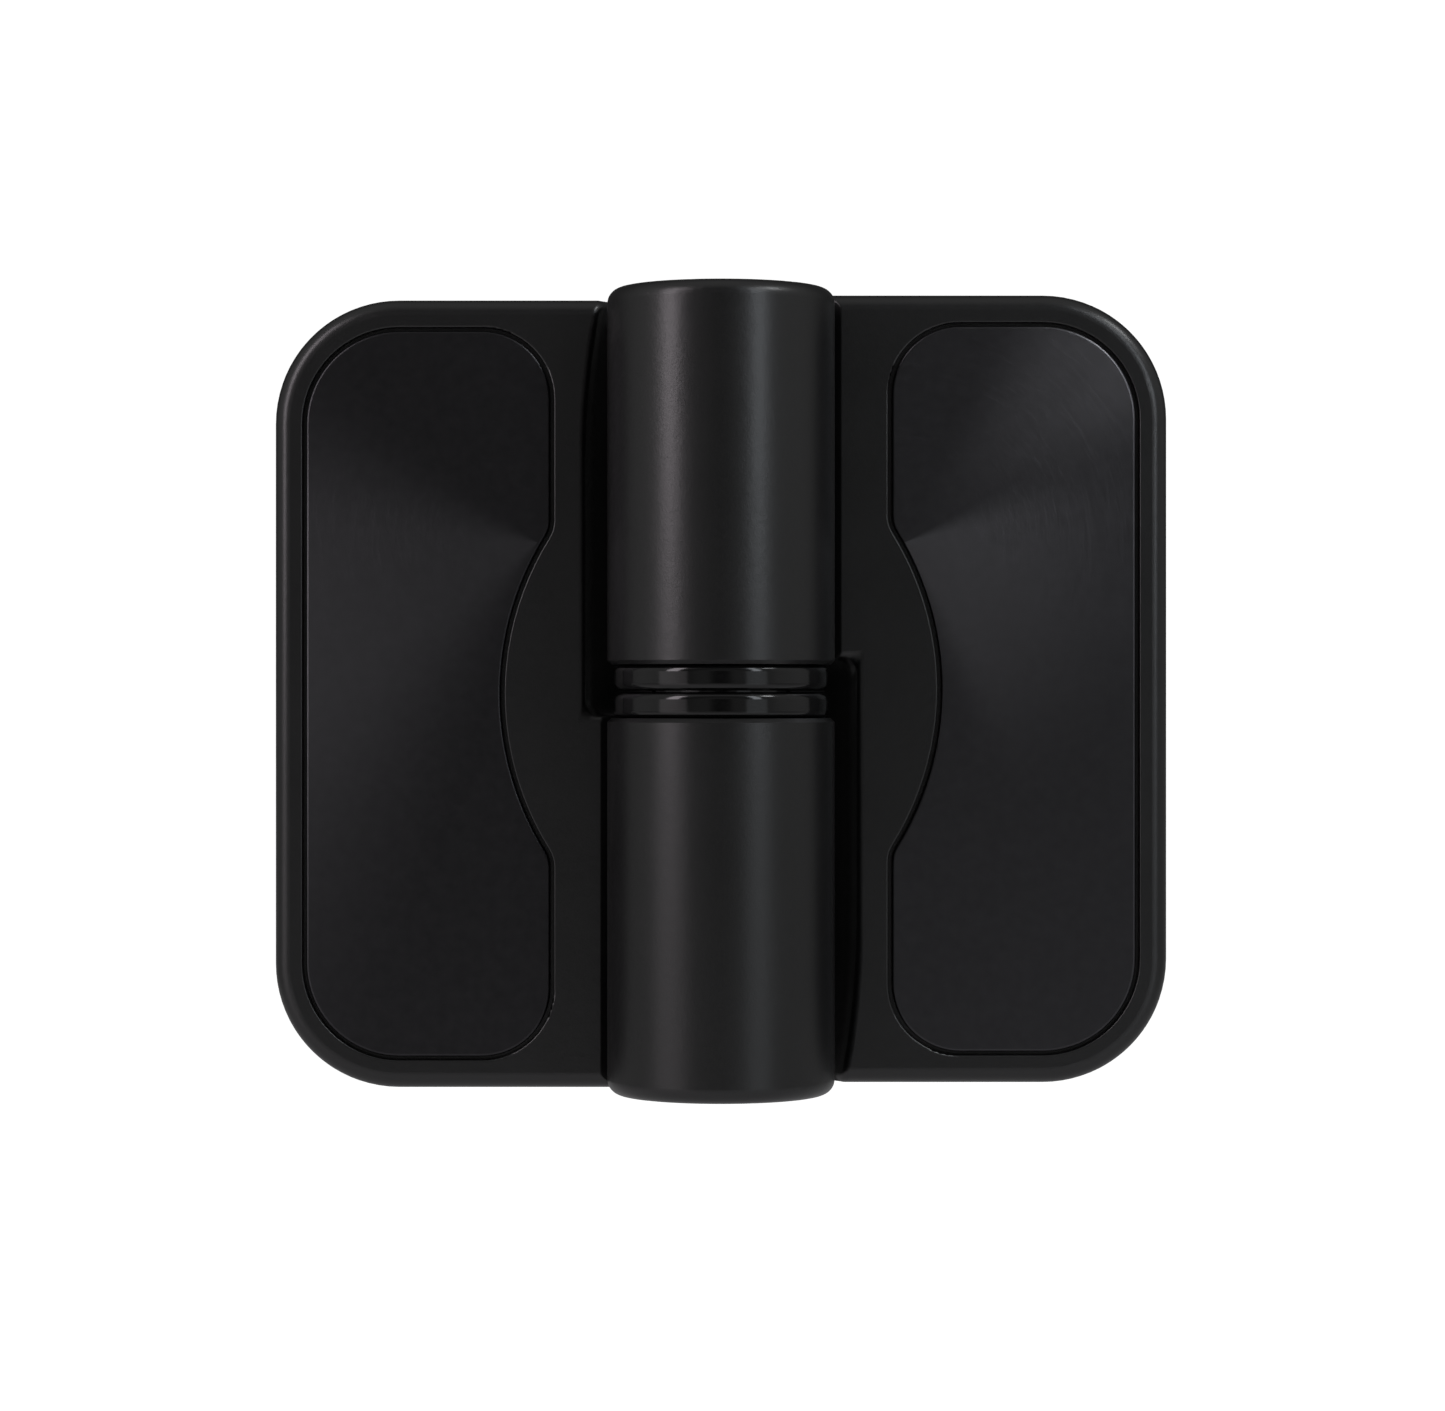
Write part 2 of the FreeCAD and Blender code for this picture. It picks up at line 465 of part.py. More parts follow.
def make_leaf(label, slot_end, socket_end, keyway_end, web_bore):
    """A cast leaf with its knuckle, drawn with the knuckle up and the leaf towards +X."""
    body = new_body(label)

    # The plate's section: its root runs under the knuckle to the back's tangent line, and its
    # face ends in a ridge with a narrow valley behind it.
    plate = sketch_on(body, "XY_Plane", LEAF_BOTTOM)
    valley = f"({FACE} + sizes.valley_depth)"
    valley_x = f"sqrt((sizes.knuckle_radius + sizes.valley_gap) ^ 2 - {valley} ^ 2)"
    polygon(plate, [
        ("0", BACK), ("sizes.leaf_reach", BACK), ("sizes.leaf_reach", FACE),
        (RIDGE, FACE), (valley_x, valley), ("0", valley),
    ])
    profiled(body, "Pad", plate, f"{LEAF_TOP} - {LEAF_BOTTOM}")
    reach, face, back, ridge_x = (size(place) for place in ("sizes.leaf_reach", FACE, BACK, RIDGE))
    softened(body, "Fillet", "sizes.leaf_corner_radius",
             lambda edge: lies_at(edge, x=reach) and edge.BoundBox.ZLength < 0.01)

    # The slot, then the roundings of the face: round the rim, down the slot's edge and along the
    # ridge. The slot's inner corner is rounded after them.
    cut_relief(body, slot_end)
    relief, slot_top = size(RELIEF), size(slot_end)
    slot_front = math.sqrt(relief ** 2 - face ** 2)
    softened(body, "Fillet", "sizes.leaf_rim_radius",
             lambda edge: lies_at(edge, y=face) and edge.BoundBox.XMax > slot_front + 0.01)
    softened(body, "Fillet", "sizes.relief_edge_radius",
             lambda edge: lies_at(edge, y=face)
             and ridge_x + 0.01 < edge.BoundBox.XMax < slot_front + 0.01)
    softened(body, "Fillet", "sizes.ridge_radius",
             lambda edge: lies_at(edge, x=ridge_x, y=face))
    softened(body, "Fillet", "sizes.slot_corner_radius",
             lambda edge: round_edge(edge, relief, slot_top))
    softened(body, "Chamfer", "sizes.leaf_back_bevel",
             lambda edge: lies_at(edge, y=back) and edge.BoundBox.XMax > slot_front)
    add_lip(body, slot_end)

    # The knuckle, bored for the cam and the spring, with a pocket for the plug in its end.
    add_knuckle(body)
    inside = sketch_on(body, "XZ_Plane")
    polygon(inside, [
        ("0", f"({RING_HALF} - {PAST_END})"), (BORE, f"({RING_HALF} - {PAST_END})"),
        (BORE, socket_end), (web_bore, socket_end), (web_bore, POCKET_FLOOR),
        (CAP_POCKET, POCKET_FLOOR), (CAP_POCKET, PLUG_SEAT), (PLUG_POCKET, PLUG_SEAT),
        (PLUG_POCKET, f"({BARREL_END} + {PAST_END})"), ("0", f"({BARREL_END} + {PAST_END})"),
    ])
    turned(body, "Groove", inside)
    keyway = sketch_on(body, "XY_Plane", RING_HALF)
    reach_of_keyway = f"({KEY_REACH} + sizes.key_gap)"
    half_keyway = "(sizes.key_width / 2 + sizes.key_gap)"
    rectangle(keyway, f"-{reach_of_keyway}", f"-{half_keyway}", reach_of_keyway, half_keyway)
    profiled(body, "Pocket", keyway, f"{keyway_end} - {RING_HALF}", flipped=True)

    # The recess for the cover, its clip holes and the fixing holes.
    recess = sketch_on(body, "XZ_Plane", f"-{FACE}")
    cover_outline(recess, "sizes.cover_gap")
    profiled(body, "Pocket", recess, "sizes.cover_thickness")
    recess_left = size(f"{COVER_INNER} - sizes.cover_gap")
    recess_right = size("sizes.leaf_reach - sizes.cover_margin + sizes.cover_gap")
    softened(body, "Fillet", "sizes.recess_edge_radius",
             lambda edge: lies_at(edge, y=face) and edge.BoundBox.XMin > recess_left - 0.01
             and edge.BoundBox.XMax < recess_right + 0.01)
    clips = sketch_on(body, "XZ_Plane", f"-{RECESS_FLOOR}")
    for sign in ("+", "-"):
        circle(clips, "sizes.clip_reach", f"({LEAF_MIDDLE} {sign} sizes.clip_height)",
               "(sizes.clip_radius + sizes.push_gap)")
    profiled(body, "Pocket", clips, "sizes.clip_depth")
    screws = sketch_on(body, "XZ_Plane", f"-{RECESS_FLOOR}")
    for across in ("+", "-"):
        for along in ("+", "-"):
            circle(screws, f"(sizes.screw_middle {across} sizes.screw_spacing_x / 2)",
                   f"({LEAF_MIDDLE} {along} sizes.screw_spacing_z / 2)", "(sizes.screw_hole / 2)")
    hole = body.newObject("PartDesign::Hole", f"{body.Name}_screws")
    hole.Profile = screws
    hole.DepthType = "ThroughAll"
    hole.HoleCutType = "Countersink"
    hole.HoleCutCustomValues = True
    hole.setExpression("Diameter", "sizes.screw_hole")
    hole.setExpression("HoleCutDiameter", "sizes.screw_head")
    hole.setExpression("HoleCutCountersinkAngle", "sizes.screw_angle")
    finish_feature(body, hole, adds=False)
    return body


def make_door_leaf():
    keyway_end = f"({CAM_HEAD_TOP} + {CAM_TRAVEL} + sizes.keyway_spare)"
    leaf = make_leaf("door_leaf", "sizes.door_slot_end", SHOULDER, keyway_end,
                     "(sizes.pin_bush_radius + sizes.push_gap)")
    return put(leaf, UNTURNED)


def make_fixed_leaf():
    leaf = make_leaf("fixed_leaf", "sizes.fixed_slot_end", SOCKET_END, SOCKET_END,
                     "(sizes.pin_radius + sizes.pin_fit_gap)")
    grub_hole = sketch_on(leaf, "XZ_Plane", f"-{BACK}")
    circle(grub_hole, "0", GRUB_HEIGHT, "(sizes.grub_radius + sizes.push_gap)")
    profiled(leaf, "Pocket", grub_hole, f"{BACK} - sizes.pin_radius + sizes.pin_flat", flipped=True)
    return put(leaf, HALF_TURN)


def make_cover(label, rotation):
    """A flat cover plate with two pegs on its back."""
    body = new_body(label)
    plate = sketch_on(body, "XZ_Plane", f"-{RECESS_FLOOR}")
    cover_outline(plate, "0")
    profiled(body, "Pad", plate, "sizes.cover_thickness")
    face = size(FACE)
    softened(body, "Fillet", "sizes.cover_edge_radius", lambda edge: lies_at(edge, y=face))
    pegs = sketch_on(body, "XZ_Plane", f"-{RECESS_FLOOR}")
    for sign in ("+", "-"):
        circle(pegs, "sizes.clip_reach", f"({LEAF_MIDDLE} {sign} sizes.clip_height)",
               "sizes.peg_radius")
    profiled(body, "Pad", pegs, "sizes.peg_length", flipped=True)
    return put(body, rotation)


def make_clip(label, side, sign):
    """A slit nylon socket that holds one of a cover's pegs; its bottom is at its own origin."""
    body = new_body(label)
    section = sketch_on(body, "XY_Plane")
    circle(section, "0", "0", "sizes.clip_radius")
    circle(section, "0", "0", "(sizes.peg_radius + sizes.push_gap)")
    profiled(body, "Pad", section, "sizes.clip_depth")
    slit = sketch_on(body, "XY_Plane", "sizes.clip_base")
    rectangle(slit, "-(sizes.clip_radius + 1)", "-(sizes.clip_slit / 2)",
              "(sizes.clip_radius + 1)", "(sizes.clip_slit / 2)")
    profiled(body, "Pocket", slit, "sizes.clip_depth", flipped=True)
    mouth_towards_face = FreeCAD.Rotation(FreeCAD.Vector(1, 0, 0), 90)
    height = f"({LEAF_MIDDLE} {sign} sizes.clip_height)"
    return put(body, mouth_towards_face, f"{side} * sizes.clip_reach",
               f"{RECESS_FLOOR} + sizes.clip_depth", f"{side} * {height}")


# ---- inside the barrel ----

def add_keys(body, bottom, length, narrower="0"):
    """Two keys, one each side, which slide in the knuckle's keyways."""
    keys = sketch_on(body, "XY_Plane", bottom)
    half_width = f"(sizes.key_width / 2 - {narrower})"
    rectangle(keys, f"-{KEY_REACH}", f"-{half_width}", KEY_REACH, half_width)
    profiled(body, "Pad", keys, length)


def bore_through(body, radius):
    hole = sketch_on(body, "XY_Plane", f"-{BARREL_END}")
    circle(hole, "0", "0", radius)
    profiled(body, "Pocket", hole, flipped=True)


def make_ramp(name, height, direction, length):
    """A solid on one side of a double ramp about the pin: a helical face that climbs both ways
    round from +X to -X, pushed up or down by the given length."""
    halves = []
    for hand in ("Right-handed", "Left-handed"):
        edges = []
        for radius in ("sizes.pin_radius / 2", f"({BORE} + {PAST_END})"):
            edge = doc.addObject("Part::Helix", name + "_edge")
            edge.LocalCoord = hand
            edge.SegmentLength = 0
            edge.setExpression("Pitch", "sizes.cam_rise_per_turn")
            edge.setExpression("Height", "sizes.cam_rise_per_turn / 2")
            edge.setExpression("Radius", radius)
            put(edge, UNTURNED, z=height)
            edges.append(edge)
        face = doc.addObject("Part::RuledSurface", name + "_face")
        face.Curve1 = (edges[0], ["Edge1"])
        face.Curve2 = (edges[1], ["Edge1"])
        half = doc.addObject("Part::Extrusion", name + "_half")
        half.Base = face
        half.DirMode = "Custom"
        half.Dir = FreeCAD.Vector(0, 0, direction)
        half.setExpression("LengthFwd", length)
        halves.append(half)
    doc.recompute()
    return halves


def cut_ramp(body, label, halves):
    """The body less both halves of a ramp."""
    rest = body
    body.Label = label + "_blank"
    for half in halves:
        cut = doc.addObject("Part::Cut", label + "_cut")
        cut.Base = rest
        cut.Tool = half
        rest = cut
    doc.recompute()
    rest.Label = label
    return rest


def make_lower_cam():
    """Keyed in the fixed leaf's knuckle. Its collar is the lower of the two rings seen between
    the knuckles, and its ramped nose stands up inside the upper bush."""
    body = new_body("lower_cam")
    section = sketch_on(body, "XZ_Plane")
    nose = f"({BUSH_BORE} - sizes.running_gap)"
    nose_top = f"({CAM_PEAK} - sizes.cam_land)"
    polygon(section, [
        ("0", f"-{SOCKET_END}"), (SLEEVE, f"-{SOCKET_END}"), (SLEEVE, f"-{RING_HALF}"),
        (RING_RADIUS, f"-{RING_HALF}"), (RING_RADIUS, f"-{PARTING_HALF}"),
        (nose, f"-{PARTING_HALF}"), (nose, nose_top), ("0", nose_top),
    ])
    turned(body, "Revolution", section)
    ring = size(RING_RADIUS)
    softened(body, "Fillet", "sizes.ring_edge_radius", lambda edge: round_edge(edge, ring))
    add_keys(body, f"-{SOCKET_END}", "sizes.socket_depth")
    bore_through(body, "(sizes.pin_radius + sizes.pin_fit_gap)")
    ramp = make_ramp("lower_ramp", "sizes.cam_valley", 1, "2 * sizes.cam_rise_per_turn")
    return cut_ramp(body, "lower_cam", ramp)


def make_upper_bush():
    """Keyed in the door leaf's knuckle. Its collar is the upper ring, and its sleeve turns on
    the lower cam's nose."""
    body = new_body("upper_bush")
    section = sketch_on(body, "XZ_Plane")
    polygon(section, [
        ("0", PARTING_HALF), (RING_RADIUS, PARTING_HALF), (RING_RADIUS, RING_HALF),
        (SLEEVE, RING_HALF), (SLEEVE, BUSH_TOP), ("0", BUSH_TOP),
    ])
    turned(body, "Revolution", section)
    ring = size(RING_RADIUS)
    softened(body, "Fillet", "sizes.ring_edge_radius", lambda edge: round_edge(edge, ring))
    add_keys(body, RING_HALF, "sizes.bush_length")
    bore_through(body, BUSH_BORE)
    return put(body, UNTURNED)


def make_upper_cam():
    """Slides up its keyways as the door opens, because its ramp climbs the lower cam's."""
    body = new_body("upper_cam")
    section = sketch_on(body, "XZ_Plane")
    nose = f"({BUSH_BORE} - sizes.running_gap)"
    head = f"({BORE} - 2 * sizes.running_gap)"
    tip = "(sizes.cam_valley + sizes.cam_gap + sizes.cam_land)"
    polygon(section, [
        ("0", tip), (nose, tip), (nose, CAM_HEAD_BOTTOM), (head, CAM_HEAD_BOTTOM),
        (head, CAM_HEAD_TOP), ("0", CAM_HEAD_TOP),
    ])
    turned(body, "Revolution", section)
    add_keys(body, CAM_HEAD_BOTTOM, "sizes.cam_head_height", narrower="sizes.key_gap / 2")
    bore_through(body, "(sizes.pin_radius + sizes.running_gap)")
    ramp = make_ramp("upper_ramp", "(sizes.cam_valley + sizes.cam_gap)", -1,
                     "2 * sizes.cam_rise_per_turn")
    return cut_ramp(body, "upper_cam", ramp)


def make_return_spring():
    """A coil of round wire between the upper cam and the washer under the knuckle's web."""
    low = f"({CAM_HEAD_TOP} + sizes.spring_wire / 2)"
    high = f"({SHOULDER} - sizes.washer_thickness - sizes.spring_wire / 2)"
    mean = f"(({BORE} + sizes.pin_radius) / 2)"
    coil = doc.addObject("Part::Helix", "spring_coil")
    coil.SegmentLength = 0
    coil.setExpression("Height", f"{high} - {low}")
    coil.setExpression("Pitch", f"({high} - {low}) / sizes.spring_turns")
    coil.setExpression("Radius", mean)
    put(coil, UNTURNED, z=low)
    wire = doc.addObject("Part::Circle", "spring_wire_section")
    wire.setExpression("Radius", "sizes.spring_wire / 2")
    across_the_wire = FreeCAD.Rotation(FreeCAD.Vector(1, 0, 0), 90)
    put(wire, across_the_wire, x=mean, z=low)
    spring = doc.addObject("Part::Sweep", "return_spring")
    spring.Sections = [wire]
    spring.Spine = (coil, ["Edge1"])
    spring.Solid = True
    spring.Frenet = True
    doc.recompute()
    return spring


def make_washer(label, inner, outer, bottom, height):
    """A plain ring about the pin."""
    body = new_body(label)
    section = sketch_on(body, "XY_Plane", bottom)
    circle(section, "0", "0", outer)
    circle(section, "0", "0", inner)
    profiled(body, "Pad", section, height)
    return put(body, UNTURNED)


def make_hinge_pin():
    """A headed pin, fixed in the lower knuckle, with a groove near its tip."""
    body = new_body("hinge_pin")
    groove_bottom = f"({RETAINER_BOTTOM} - sizes.retainer_gap / 2)"
    groove_top = f"({RETAINER_BOTTOM} + sizes.retainer_thickness + sizes.retainer_gap / 2)"
    tip = f"({RETAINER_BOTTOM} + sizes.retainer_thickness + sizes.pin_tail)"
    head_end = f"-({POCKET_FLOOR} + sizes.pin_head_height)"
    groove = "(sizes.pin_radius - sizes.ring_groove_depth)"
    section = sketch_on(body, "XZ_Plane")
    polygon(section, [
        ("0", head_end), ("sizes.pin_head_radius", head_end),
        ("sizes.pin_head_radius", f"-{POCKET_FLOOR}"), ("sizes.pin_radius", f"-{POCKET_FLOOR}"),
        ("sizes.pin_radius", groove_bottom), (groove, groove_bottom), (groove, groove_top),
        ("sizes.pin_radius", groove_top), ("sizes.pin_radius", tip), ("0", tip),
    ])
    turned(body, "Revolution", section)
    softened(body, "Chamfer", "sizes.pin_chamfer",
             lambda edge: round_edge(edge, size("sizes.pin_radius"), size(tip))
             or round_edge(edge, size("sizes.pin_head_radius"), size(head_end)))
    flat = sketch_on(body, "XY_Plane", f"-({GRUB_HEIGHT} + 1.5 * sizes.grub_radius)")
    rectangle(flat, "-sizes.pin_radius", "(sizes.pin_radius - sizes.pin_flat)",
              "sizes.pin_radius", "(sizes.pin_radius + 1)")
    profiled(body, "Pocket", flat, "3 * sizes.grub_radius", flipped=True)
    return put(body, UNTURNED)


def make_pin_grub_screw():
    """A headless screw through the back of the lower knuckle, tight on the pin's flat."""
    body = new_body("pin_grub_screw")
    shank = sketch_on(body, "XY_Plane")
    circle(shank, "0", "0", "sizes.grub_radius")
    profiled(body, "Pad", shank, "sizes.grub_length")
    socket = sketch_on(body, "XY_Plane", "sizes.grub_length")
    corner = "sizes.grub_socket / sqrt(3)"
    polygon(socket, [(f"({corner} * {math.cos(math.radians(60 * i + 30)):.6f})",
                      f"({corner} * {math.sin(math.radians(60 * i + 30)):.6f})") for i in range(6)])
    profiled(body, "Pocket", socket, "sizes.grub_socket_depth")
    return put(body, ALONG_Y, y="sizes.pin_radius - sizes.pin_flat", z=f"-{GRUB_HEIGHT}")


def make_retaining_ring():
    """An open spring-steel ring, snapped into the pin's groove over the thrust washer."""
    body = new_body("retaining_ring")
    section = sketch_on(body, "XY_Plane", RETAINER_BOTTOM)
    circle(section, "0", "0", "sizes.retainer_radius")
    circle(section, "0", "0", "(sizes.pin_radius - sizes.ring_groove_depth + sizes.push_gap)")
    profiled(body, "Pad", section, "sizes.retainer_thickness")
    mouth = sketch_on(body, "XY_Plane", RETAINER_BOTTOM)
    rectangle(mouth, "0", "-sizes.retainer_mouth / 2", "(sizes.retainer_radius + 1)",
              "sizes.retainer_mouth / 2")
    profiled(body, "Pocket", mouth, "sizes.retainer_thickness", flipped=True)
    eyes = sketch_on(body, "XY_Plane", RETAINER_BOTTOM)
    along = "((sizes.pin_radius + sizes.retainer_radius) / 2 - sizes.retainer_eye)"
    for sign in ("", "-"):
        circle(eyes, along, f"{sign}(sizes.retainer_mouth / 2 + 2 * sizes.retainer_eye)",
               "sizes.retainer_eye")
    profiled(body, "Pocket", eyes, "sizes.retainer_thickness", flipped=True)
    return put(body, UNTURNED)


def make_plug(label, rotation):
    """A cup-shaped plug pushed into the knuckle's end, flush with it."""
    body = new_body(label)
    rim = f"({PLUG_POCKET} - sizes.push_gap)"
    inner = f"({PLUG_POCKET} - sizes.push_gap - sizes.plug_skirt)"
    crown = f"({BARREL_END} - sizes.plug_crown)"
    section = sketch_on(body, "XZ_Plane")
    polygon(section, [
        ("0", crown), (inner, crown), (inner, PLUG_SEAT), (rim, PLUG_SEAT),
        (rim, BARREL_END), ("0", BARREL_END),
    ])
    turned(body, "Revolution", section)
    softened(body, "Chamfer", "sizes.plug_chamfer",
             lambda edge: round_edge(edge, size(rim), size(BARREL_END)))
    return put(body, rotation)


# ---- the whole hinge ----

pieces = [
    make_fixed_leaf(),
    make_door_leaf(),
    make_cover("fixed_leaf_cover", HALF_TURN),
    make_cover("door_leaf_cover", UNTURNED),
    make_clip("fixed_cover_clip_upper", "-1", "-"),
    make_clip("fixed_cover_clip_lower", "-1", "+"),
    make_clip("door_cover_clip_upper", "1", "+"),
    make_clip("door_cover_clip_lower", "1", "-"),
    make_lower_cam(),
    make_upper_bush(),
    make_upper_cam(),
    make_return_spring(),
    make_washer("spring_washer", "(sizes.pin_radius + sizes.washer_gap)",
                f"({BORE} - sizes.washer_gap)", f"({SHOULDER} - sizes.washer_thickness)",
                "sizes.washer_thickness"),
    make_washer("pin_bush", "(sizes.pin_radius + sizes.pin_running_gap)",
                "sizes.pin_bush_radius", SHOULDER, "sizes.web_thickness"),
    make_washer("thrust_washer", "(sizes.pin_radius + sizes.pin_running_gap)",
                f"({CAP_POCKET} - sizes.washer_gap)", POCKET_FLOOR, "sizes.washer_thickness"),
    make_hinge_pin(),
    make_pin_grub_screw(),
    make_retaining_ring(),
    make_plug("top_plug", UNTURNED),
    make_plug("bottom_plug", HALF_TURN),
]

doc.recompute()
for thing in doc.Objects:
    if "Invalid" in thing.State or "Error" in thing.State:
        raise ValueError(f"{thing.Name} failed: {thing.State}")
os.makedirs("parts", exist_ok=True)
for piece in pieces:
    shape = piece.Shape
    if shape.isNull() or not shape.isValid() or len(shape.Solids) != 1:
        raise ValueError(f"{piece.Label} isn't one valid solid")
    shape.exportStep(f"parts/{piece.Label}.step")
    print(f"{piece.Label:24s} {shape.Volume:10.1f} mm3")
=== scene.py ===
"""Self-closing hinge for a cubicle door: powder-coated castings, spun covers and nylon rings."""
import math

import bmesh
import bpy
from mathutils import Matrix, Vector


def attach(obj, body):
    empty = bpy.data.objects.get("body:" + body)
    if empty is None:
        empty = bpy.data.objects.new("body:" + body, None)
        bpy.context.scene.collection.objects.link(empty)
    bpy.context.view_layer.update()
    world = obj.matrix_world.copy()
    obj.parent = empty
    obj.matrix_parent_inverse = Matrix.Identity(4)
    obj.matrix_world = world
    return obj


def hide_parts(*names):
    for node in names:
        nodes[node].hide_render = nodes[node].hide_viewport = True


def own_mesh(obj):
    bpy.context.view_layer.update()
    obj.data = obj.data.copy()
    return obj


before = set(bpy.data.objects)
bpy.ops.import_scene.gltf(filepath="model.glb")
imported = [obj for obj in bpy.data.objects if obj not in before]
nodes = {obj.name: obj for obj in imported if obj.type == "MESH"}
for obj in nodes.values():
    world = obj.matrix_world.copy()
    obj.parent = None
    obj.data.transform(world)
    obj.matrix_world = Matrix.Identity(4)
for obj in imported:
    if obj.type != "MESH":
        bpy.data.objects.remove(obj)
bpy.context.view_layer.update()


# ---- the two leaves ----
# Each leaf is a zinc-alloy die casting with its knuckle in one piece. It is blasted, then powder
# coated in a fine-textured satin black, which levels out to a slight orange peel. Deep in the slot
# beside the other knuckle the colour is painted darker as shade, and the coat is made rougher there.

class Shade:
    """A value in a material. Arithmetic on it adds Math nodes; add() brings in any other node."""

    def __init__(self, tree, socket=None):
        self.tree = tree
        self.socket = socket

    def add(self, kind, settings=None, inputs=None, output=0):
        node = self.tree.nodes.new("ShaderNode" + kind)
        for name, setting in (settings or {}).items():
            if name == "stops":
                stops = node.color_ramp.elements
                while len(stops) < len(setting):
                    stops.new(1.0)
                for stop, (place, colour) in zip(stops, setting):
                    stop.position = place
                    stop.color = colour
            else:
                setattr(node, name, setting)
        for name, value in (inputs or {}).items():
            if isinstance(value, Shade):
                self.tree.links.new(value.socket, node.inputs[name])
            else:
                node.inputs[name].default_value = value
        return Shade(self.tree, node.outputs[output])

    def maths(self, operation, *values):
        return self.add("Math", {"operation": operation}, dict(enumerate(values)))

    def __add__(self, other):
        return self.maths("ADD", self, other)

    def __sub__(self, other):
        return self.maths("SUBTRACT", self, other)

    def __rsub__(self, other):
        return self.maths("SUBTRACT", other, self)

    def __mul__(self, other):
        return self.maths("MULTIPLY", self, other)

    def __truediv__(self, other):
        return self.maths("DIVIDE", self, other)

    __radd__ = __add__
    __rmul__ = __mul__

    def clipped(self, low, high):
        """0 where this is at or below low, 1 at or above high, and smooth between."""
        inputs = {"Value": self, "From Min": low, "From Max": high}
        return self.add("MapRange", {"interpolation_type": "SMOOTHSTEP"}, inputs)

    def tint(self, dark, light):
        """From the dark colour where this is 0 to the light one where it is 1."""
        stops = [(0.0, (*dark, 1.0)), (1.0, (*light, 1.0))]
        return self.add("ValToRGB", {"stops": stops}, {"Fac": self})

    def noise(self, place, scale, detail=2.0, roughness=0.5):
        inputs = {"Vector": place, "Scale": scale, "Detail": detail, "Roughness": roughness}
        return self.add("TexNoise", None, inputs)

    def bump(self, height, depth, below=None):
        """A normal from a height of 0 to 1 that stands for a depth in metres."""
        inputs = {"Height": height, "Distance": depth, "Strength": 1.0}
        if below is not None:
            inputs["Normal"] = below
        return self.add("Bump", None, inputs)


def new_finish(name):
    """An empty material: its root value, and a point in the object's own metres."""
    finish = bpy.data.materials.new(name)
    finish.use_nodes = True
    finish.node_tree.nodes.clear()
    root = Shade(finish.node_tree)
    return finish, root, root.add("TexCoord", None, None, "Object")


def surfaced(root, constants, varying):
    """The shader: constants are set on its own sockets, and varying ones are linked."""
    shader = root.add("BsdfPrincipled", None, {**constants, **varying})
    output = root.tree.nodes.new("ShaderNodeOutputMaterial")
    root.tree.links.new(shader.socket, output.inputs["Surface"])


def coat(names, finish):
    """Puts a finish on CAD nodes, given by their names."""
    for name in names:
        for slot in nodes[name].material_slots:
            slot.material = finish


POWDER_GRAIN = 1 / 0.00022
ORANGE_PEEL = 1 / 0.0011
COAT_CLOUDS = 140.0
GRAIN_HEIGHT = 0.000010
PEEL_HEIGHT = 0.000012
SLOT_SIDE = 0.0150
SLOT_BACK = 0.0108
SLOT_SHADE_STARTS = 0.0062
SLOT_SHADE_FULL = 0.0076
SLOT_SHADE_ROUGHNESS = 0.6

powder_coat, root, place = new_finish("satin_black_powder_coat")
grain = root.noise(place, POWDER_GRAIN, detail=3.0, roughness=0.65)
peel = root.noise(place, ORANGE_PEEL, detail=1.0)
cloudy = root.noise(place, COAT_CLOUDS, detail=3.0)
sideways = root.maths("ABSOLUTE", root.add("SeparateXYZ", None, {"Vector": place}, "X"))
backwards = root.add("SeparateXYZ", None, {"Vector": place}, "Y")
over_lip = backwards.clipped(SLOT_BACK, SLOT_BACK - 0.0002)
in_slot = sideways.clipped(SLOT_SIDE + 0.0003, SLOT_SIDE) * over_lip
# This mask darkens the back of the slot towards black as painted shade, and makes it rougher.
painted_slot_shade = in_slot * backwards.clipped(SLOT_SHADE_STARTS, SLOT_SHADE_FULL)
mottle_and_painted_slot_shade = (0.35 * cloudy + 0.65 * grain) * (1.0 - painted_slot_shade)
surfaced(
    root,
    {"Specular IOR Level": 0.5, "IOR": 1.5},
    {
        "Base Color": mottle_and_painted_slot_shade.tint((0.0005, 0.0005, 0.0005), (0.0052, 0.0051, 0.0053)),
        "Roughness": 0.25 + 0.08 * grain + 0.05 * cloudy + SLOT_SHADE_ROUGHNESS * painted_slot_shade,
        "Normal": root.bump(grain, GRAIN_HEIGHT, root.bump(peel, PEEL_HEIGHT)),
    },
)
coat(("fixed_leaf", "door_leaf"), powder_coat)


# ---- the two covers ----
# A cover is an aluminium plate, spun-brushed about a point beside the bend of its inner edge and
# anodised black. The spinning leaves very fine circular scratches. Broad fans of painted highlight
# spread from the same point in the base colour, standing in for lamp light that the scratches reflect.

SPIN_CENTRE_X = 0.0185
SPIN_CENTRE_Z = 0.0150
SCRATCH_PITCH = 0.00002
SCRATCHES_A_TURN = 4.0
SCRATCH_DEPTH = 0.000006
PAINTED_HIGHLIGHT_NEAR, PAINTED_HIGHLIGHT_FAR = 0.002, 0.030
DYE_SPECKLE = 900.0
PALEST = (0.25, 0.245, 0.26)


